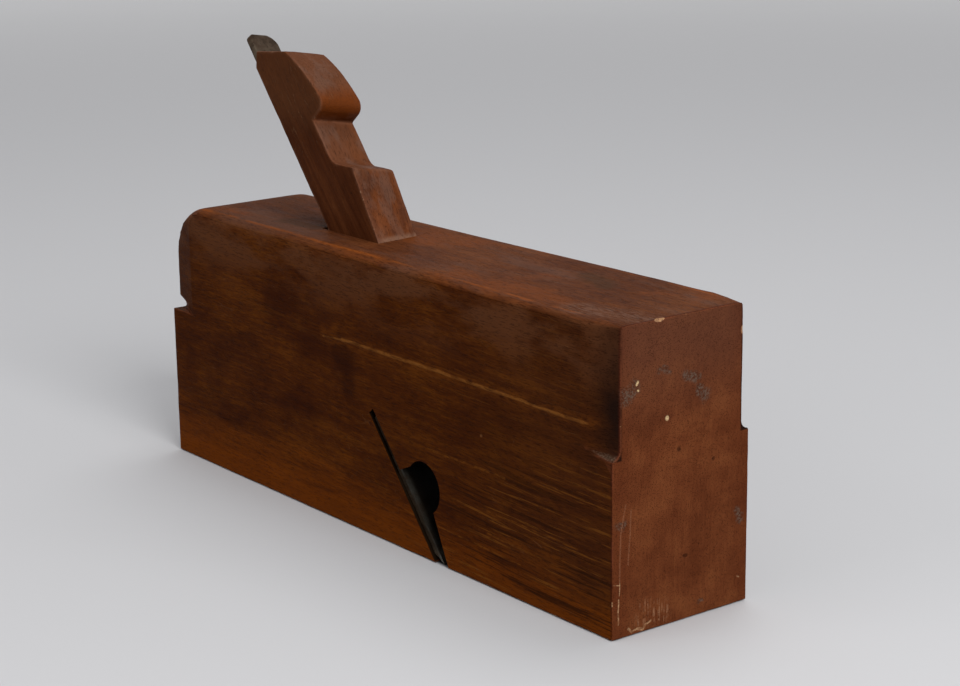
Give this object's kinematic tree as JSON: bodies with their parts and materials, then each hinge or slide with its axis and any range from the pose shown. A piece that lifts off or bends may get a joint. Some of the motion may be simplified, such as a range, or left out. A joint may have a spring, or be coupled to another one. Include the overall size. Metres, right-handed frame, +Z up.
{
  "type": "skew rabbet plane",
  "caption": "Wooden skew rabbet plane: one-piece beech stock with an open-sided slot, an iron bedded askew, and a notched wedge that holds it.",
  "frame": {"origin": "middle of the stock's sole, at its face", "axes": "+X from heel to toe, +Y to the plane's left side, +Z up from the sole"},
  "size_m": [0.238, 0.052, 0.1499],
  "materials": {
    "stock_beech": "old oiled beech, dark reddish brown with streaky ochre grain, rubbed and scratched",
    "wrought_iron": "hand-forged wrought iron, dull grey brown with dark rust",
    "laid_steel": "steel welded on the blade's face, grey with brown rust spots",
    "wedge_beech": "old oiled beech, reddish brown, worn lighter along its edges"
  },
  "bodies": {
    "stock": {"stock": "stock_beech"},
    "iron": {"iron": "wrought_iron", "laid_steel": "laid_steel"},
    "wedge": {"wedge": "wedge_beech"}
  },
  "joints": [
    {"name": "iron_slide", "type": "slide", "parent": "stock", "child": "iron", "axis": [-0.6428, 0, 0.766], "range_m": [-0.2, 0.0018]},
    {"name": "wedge_slide", "type": "slide", "parent": "stock", "child": "wedge", "axis": [-0.6428, 0, 0.766], "range_m": [0, 0.085]}
  ]
}
